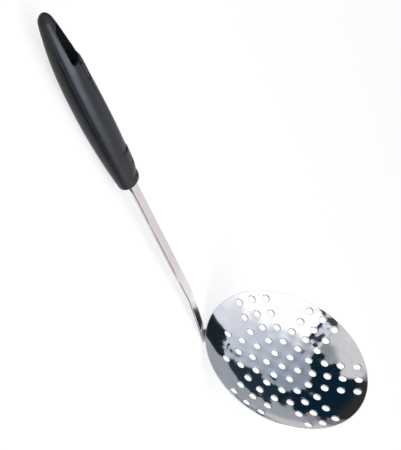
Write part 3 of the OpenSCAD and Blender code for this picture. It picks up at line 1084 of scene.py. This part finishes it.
# Patches from the lowest to the topmost: tone, softness and raggedness of the edge, corners anticlockwise
PATCHES = [
    # Pale wall low on the far side, with its darker corner
    (WALL_LIGHT, 1.0, 1.5, [(-39, 10), (12, 10), (12, 36), (-2, 36.5), (-14, 38.7), (-33, 40.5), (-40, 39), (-45, 28)]),
    (WALL_MIDDLE, 4.0, 1.0, [(-44, 30), (-30, 32), (-20, 38), (-26, 41), (-42, 41)]),
    (WALL_MIDDLE, 2.5, 1.0, [(-44, 8), (-34, 8), (-38, 16), (-44, 18)]),
    ((0.66, 0.71, 0.80), 0.9, 1.0, [(-38, 39.0), (-14, 36.8), (-14, 38.8), (-26, 40.6), (-38, 42.0)]),
    # Grey wall low on the camera's side
    (WALL_GREY, 1.5, 2.0, [(-120, 8), (-74, 8), (-76, 30), (-90, 43), (-120, 43)]),
    ((0.58, 0.57, 0.57), 4.0, 2.0, [(-101, 5), (-84, 5), (-86, 18), (-100, 22)]),
    ((0.13, 0.13, 0.14), 1.5, 2.0, [(-108, 12), (-103, 13), (-105, 20), (-110, 22)]),
    ((0.19, 0.17, 0.18), 2.0, 2.0, [(-82, 8), (-72, 8), (-73, 20), (-80, 26)]),
    # Pale paper that the strap mirrors, and the sheet over it
    (PAPER_PINK, 3.0, 2.0, [(-178, 4), (-121, 4), (-121, 32), (-178, 32)]),
    (PAPER_COOL, 5.0, 2.0, [(-172, 27), (-121, 27), (-119, 58), (-172, 58)]),
    # Dark gap that the neck sees by way of the bowl
    ((0.012, 0.013, 0.016), 2.0, 2.0, [(-131, 21), (-112, 21), (-112, 52), (-131, 52)]),
    # Ragged dark gap beside the brightest sheet
    (NEAR_BLACK, 0.6, 3.5, [(-124, 50), (-106, 44.5), (-99, 42), (-91, 41), (-90, 46), (-90, 57.5), (-99, 60.5), (-120, 60)]),
    (NEAR_BLACK, 0.5, 2.5, [(-92, 47.8), (-86, 49.8), (-77, 51.2), (-76.5, 53.4), (-84, 56), (-92, 58)]),
    # Wide dark gap: its two upper lobes and its body
    (SLATE, 0.7, 2.5, [(-87, 31), (-78, 28), (-68, 34), (-71, 39), (-77, 42.5), (-84, 44.5), (-91, 40)]),
    (TEAL, 0.6, 2.5, [(-64, 33), (-46, 27), (-42.5, 30), (-40.4, 34), (-38.5, 39.5), (-43.7, 40.5), (-50, 40.2), (-58, 36)]),
    (TEAL, 0.7, 2.5, [(-73.5, 8), (-41, 8), (-41.5, 22), (-45, 26), (-45.5, 34), (-75, 34), (-79, 28)]),
    (BROWN_BLACK, 4.0, 2.0, [(-74, 4), (-42, 4), (-43, 17), (-72, 17)]),
    # Thin dark line and dark scraps where the far wall ends
    ((0.012, 0.022, 0.035), 0.3, 0.5, [(-38.5, 40.9), (-26, 39.4), (-26, 42.1), (-38.5, 43.8)]),
    ((0.03, 0.035, 0.05), 0.3, 0.5, [(-26, 39.4), (-5, 36.7), (-5, 39.1), (-26, 42.1)]),
    ((0.05, 0.05, 0.06), 0.8, 4.0, [(-11, 29.5), (-4, 31), (-5, 35.5), (-12, 36.5)]),
    ((0.04, 0.045, 0.05), 0.6, 3.0, [(-5, 35), (2, 36), (1, 39.5), (-3, 39)]),
    # Bright edge of the paper, as the upper part of the strap's neck sees it
    ((0.9, 0.89, 0.88), 0.8, 1.0, [(-178, -4), (-113, -4), (-113, 9.5), (-178, 9.5)]),
]


def make_world():
    world = bpy.data.worlds.new("studio")
    bpy.context.scene.world = world
    world.use_nodes = True
    graph = Graph(world.node_tree)
    way = graph.add("ShaderNodeTexCoord").outputs["Generated"]
    parts = graph.add("ShaderNodeSeparateXYZ", {0: way})
    degrees = 180 / math.pi
    wobble = graph.add("ShaderNodeTexNoise", {"Vector": way, "Scale": 8.0, "Detail": 1.2, "Roughness": 0.4})
    shakes = graph.add("ShaderNodeSeparateColor", {0: wobble.outputs["Color"]})
    azimuth = graph.math("MULTIPLY", graph.math("ARCTAN2", parts.outputs[1], parts.outputs[0]), degrees)
    azimuth = graph.math("WRAP", azimuth, AZIMUTH_TO, AZIMUTH_FROM)
    elevation = graph.math("MULTIPLY", graph.math("ARCSINE", parts.outputs[2]), degrees)

    def shaken(value, shake, amount):
        return graph.math("ADD", value, graph.math("MULTIPLY", graph.math("SUBTRACT", shake, 0.5), amount))

    def patch(corners, softness, ragged):
        """Mask of a convex patch, 1 on the left of each side from corner to corner."""
        a = shaken(azimuth, shakes.outputs[0], ragged)
        e = shaken(elevation, shakes.outputs[1], ragged)
        mask = None
        for start, end in zip(corners, corners[1:] + corners[:1]):
            run = (end[0] - start[0], end[1] - start[1])
            length = math.hypot(*run)
            first = graph.math("MULTIPLY", graph.math("SUBTRACT", e, start[1]), run[0] / length)
            second = graph.math("MULTIPLY", graph.math("SUBTRACT", a, start[0]), run[1] / length)
            side = graph.step(graph.math("SUBTRACT", first, second), -softness, softness)
            mask = side if mask is None else graph.math("MULTIPLY", mask, side)
        return mask

    colour = graph.mix(graph.step(elevation, 36, 52), SHEET_GREY, SHEET_BLUE_GREY)
    colour = graph.mix(graph.step(elevation, 50, 62), colour, SHEET_LAVENDER)
    colour = graph.mix(graph.step(elevation, 62, 82), colour, SHEET_WHITE)
    # The sheets are whiter towards the handle's side, and behind the camera's left
    slanting = graph.math("MULTIPLY_ADD", elevation, 0.6, azimuth)
    colour = graph.mix(graph.step(slanting, -24, -5), colour, SHEET_WHITE)
    colour = graph.mix(graph.step(azimuth, -150, -205), colour, SHEET_WHITE)
    for tone, softness, ragged, corners in PATCHES:
        colour = graph.mix(patch(corners, softness, ragged), colour, tone)
    # Uneven tone within each sheet and gap
    blotches = graph.add("ShaderNodeTexNoise", {"Vector": way, "Scale": 11.0, "Detail": 3.0})
    uneven = graph.remap(blotches.outputs["Fac"], 0.3, 0.7, 0.94, 1.06)
    colour = graph.vector("MULTIPLY", colour, uneven)
    # Below the horizon
    colour = graph.mix(graph.step(elevation, -4, -2), (0.8, 0.8, 0.8), colour)
    path = graph.add("ShaderNodeLightPath")
    colour = graph.mix(path.outputs["Is Camera Ray"], colour, (1.0, 1.0, 1.0))
    backdrop = graph.add("ShaderNodeBackground", {"Color": colour, "Strength": 1.0})
    output = graph.add("ShaderNodeOutputWorld")
    graph.tree.links.new(backdrop.outputs[0], output.inputs["Surface"])


# A softbox at the side, which lights up the handle's edge
KEY_AZIMUTH = math.radians(107)
KEY_ELEVATION = math.radians(33)
KEY_REACH = 1.6
KEY_SIZE = 0.8
KEY_HEIGHT = 1.4
KEY_POWER = 20.5
KEY_COLOUR = (0.75, 0.83, 1.04)


def make_key_light():
    data = bpy.data.lights.new("key", "AREA")
    data.shape = "RECTANGLE"
    data.size = KEY_SIZE
    data.size_y = KEY_HEIGHT
    data.energy = KEY_POWER
    data.color = KEY_COLOUR
    lamp = bpy.data.objects.new("key", data)
    level = math.cos(KEY_ELEVATION)
    way = Vector((level * math.cos(KEY_AZIMUTH), level * math.sin(KEY_AZIMUTH), math.sin(KEY_ELEVATION)))
    lamp.location = way * KEY_REACH
    lamp.rotation_mode = "QUATERNION"
    lamp.rotation_quaternion = way.to_track_quat("Z", "Y")
    bpy.context.scene.collection.objects.link(lamp)


# Camera in the bowl's frame, from the perspective of the bowl's rim and its holes
CAMERA_PLACE = (242.6, 604.8, 642.3)
CAMERA_RIGHT = (-0.9426, -0.0645, 0.3276)
CAMERA_UP = (0.2807, -0.6842, 0.6731)
LENS = 110.76


def make_camera():
    data = bpy.data.cameras.new("camera")
    data.lens = LENS
    data.sensor_width = 36
    data.sensor_fit = "AUTO"
    data.clip_start = 0.01
    data.clip_end = 50
    camera = bpy.data.objects.new("camera", data)
    right = Vector(turned(CAMERA_RIGHT)).normalized()
    back = right.cross(Vector(turned(CAMERA_UP))).normalized()
    up = back.cross(right)
    turn = Matrix((right, up, back)).transposed()
    camera.matrix_world = Matrix.Translation(placed(CAMERA_PLACE)) @ turn.to_4x4()
    bpy.context.scene.collection.objects.link(camera)
    bpy.context.scene.camera = camera


make_floor()
make_world()
make_key_light()
make_camera()
bpy.context.scene.view_settings.view_transform = "Standard"
